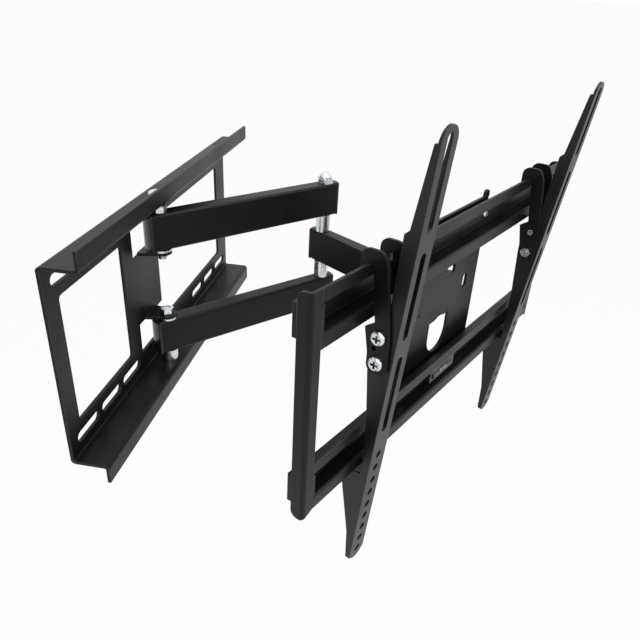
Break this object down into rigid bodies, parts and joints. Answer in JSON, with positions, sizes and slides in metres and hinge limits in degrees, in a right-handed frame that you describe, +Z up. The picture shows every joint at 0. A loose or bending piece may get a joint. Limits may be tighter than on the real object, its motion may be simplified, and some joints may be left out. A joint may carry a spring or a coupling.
{
  "type": "tv wall mount",
  "caption": "Full motion wall mount for a flat television: slotted wall plate, swinging steel arms, swivel head with a rail frame, and hook-on brackets that slide and tilt.",
  "frame": {"origin": "middle of the wall plate on its back face, which is the wall", "axes": "+X along the wall, +Y into the wall, +Z up; the room and the screen lie towards -Y"},
  "size_m": [0.4446, 0.4446, 0.4369],
  "materials": {
    "black_powder_coat": "satin black powder coat on pressed steel and tube",
    "zinc_plate": "bright zinc plated steel",
    "sleeve_steel": "turned steel",
    "grey_nylon": "moulded dark grey nylon",
    "black_plastic": "moulded black plastic",
    "vial_liquid": "clear acrylic vial with dark green liquid"
  },
  "bodies": {
    "wall": {"wall_plate": "black_powder_coat", "wall_pivot_bolts": "zinc_plate", "wall_pivot_nuts": "zinc_plate", "wall_pivot_spacer": "zinc_plate", "wall_pivot_washers": "zinc_plate"},
    "arm_pair": {"upper_arm": "black_powder_coat", "lower_arm": "black_powder_coat", "arm_wall_sleeves": "sleeve_steel", "arm_elbow_sleeves": "sleeve_steel", "arm_wall_caps": "grey_nylon", "arm_elbow_caps": "black_plastic", "elbow_bolt": "zinc_plate", "elbow_nut": "zinc_plate", "elbow_spacers": "zinc_plate"},
    "forearm_arm": {"forearm": "black_powder_coat", "forearm_sleeves": "sleeve_steel", "forearm_caps": "black_plastic"},
    "head": {"swivel_bracket": "black_powder_coat", "head_bolt": "zinc_plate", "head_nut": "zinc_plate", "head_washers": "grey_nylon", "centre_plate": "black_powder_coat", "top_rail": "black_powder_coat", "bottom_rail": "black_powder_coat", "rail_rivets": "zinc_plate", "left_end_bar": "black_powder_coat", "right_end_bar": "black_powder_coat", "level_housing": "black_plastic", "level_vial": "vial_liquid"},
    "left_hook": {"left_carriage": "black_powder_coat", "left_tilt_screw": "zinc_plate", "left_lock_screw": "zinc_plate", "left_lock_nut": "zinc_plate"},
    "left_bracket": {"left_tv_bracket": "black_powder_coat"},
    "right_hook": {"right_carriage": "black_powder_coat", "right_tilt_screw": "zinc_plate", "right_lock_screw": "zinc_plate", "right_lock_nut": "zinc_plate"},
    "right_bracket": {"right_tv_bracket": "black_powder_coat"}
  },
  "joints": [
    {"name": "arm_swing", "type": "hinge", "parent": "wall", "child": "arm_pair", "pos_m": [-0.042, -0.021, 0], "axis": [0, 0, 1], "range_deg": [-46, 38]},
    {"name": "elbow_swing", "type": "hinge", "parent": "arm_pair", "child": "forearm_arm", "pos_m": [0.10866, -0.16149, 0], "axis": [0, 0, -1], "range_deg": [-85, 25]},
    {"name": "head_swivel", "type": "hinge", "parent": "forearm_arm", "child": "head", "pos_m": [0.012, -0.28521, 0], "axis": [0, 0, 1], "range_deg": [-49, 60]},
    {"name": "left_slide", "type": "slide", "parent": "head", "child": "left_hook", "axis": [0.8846, -0.4664, 0], "range_m": [-0.06, 0.064]},
    {"name": "left_tilt", "type": "hinge", "parent": "left_hook", "child": "left_bracket", "pos_m": [-0.15407, -0.25926, 0.04], "axis": [0.8846, -0.4664, 0], "range_deg": [-10.2, 2.3]},
    {"name": "right_slide", "type": "slide", "parent": "head", "child": "right_hook", "axis": [0.8846, -0.4664, 0], "range_m": [-0.064, 0.056]},
    {"name": "right_tilt", "type": "hinge", "parent": "right_hook", "child": "right_bracket", "pos_m": [0.13077, -0.40944, 0.04], "axis": [0.8846, -0.4664, 0], "range_deg": [-11.6, 0.9]}
  ]
}
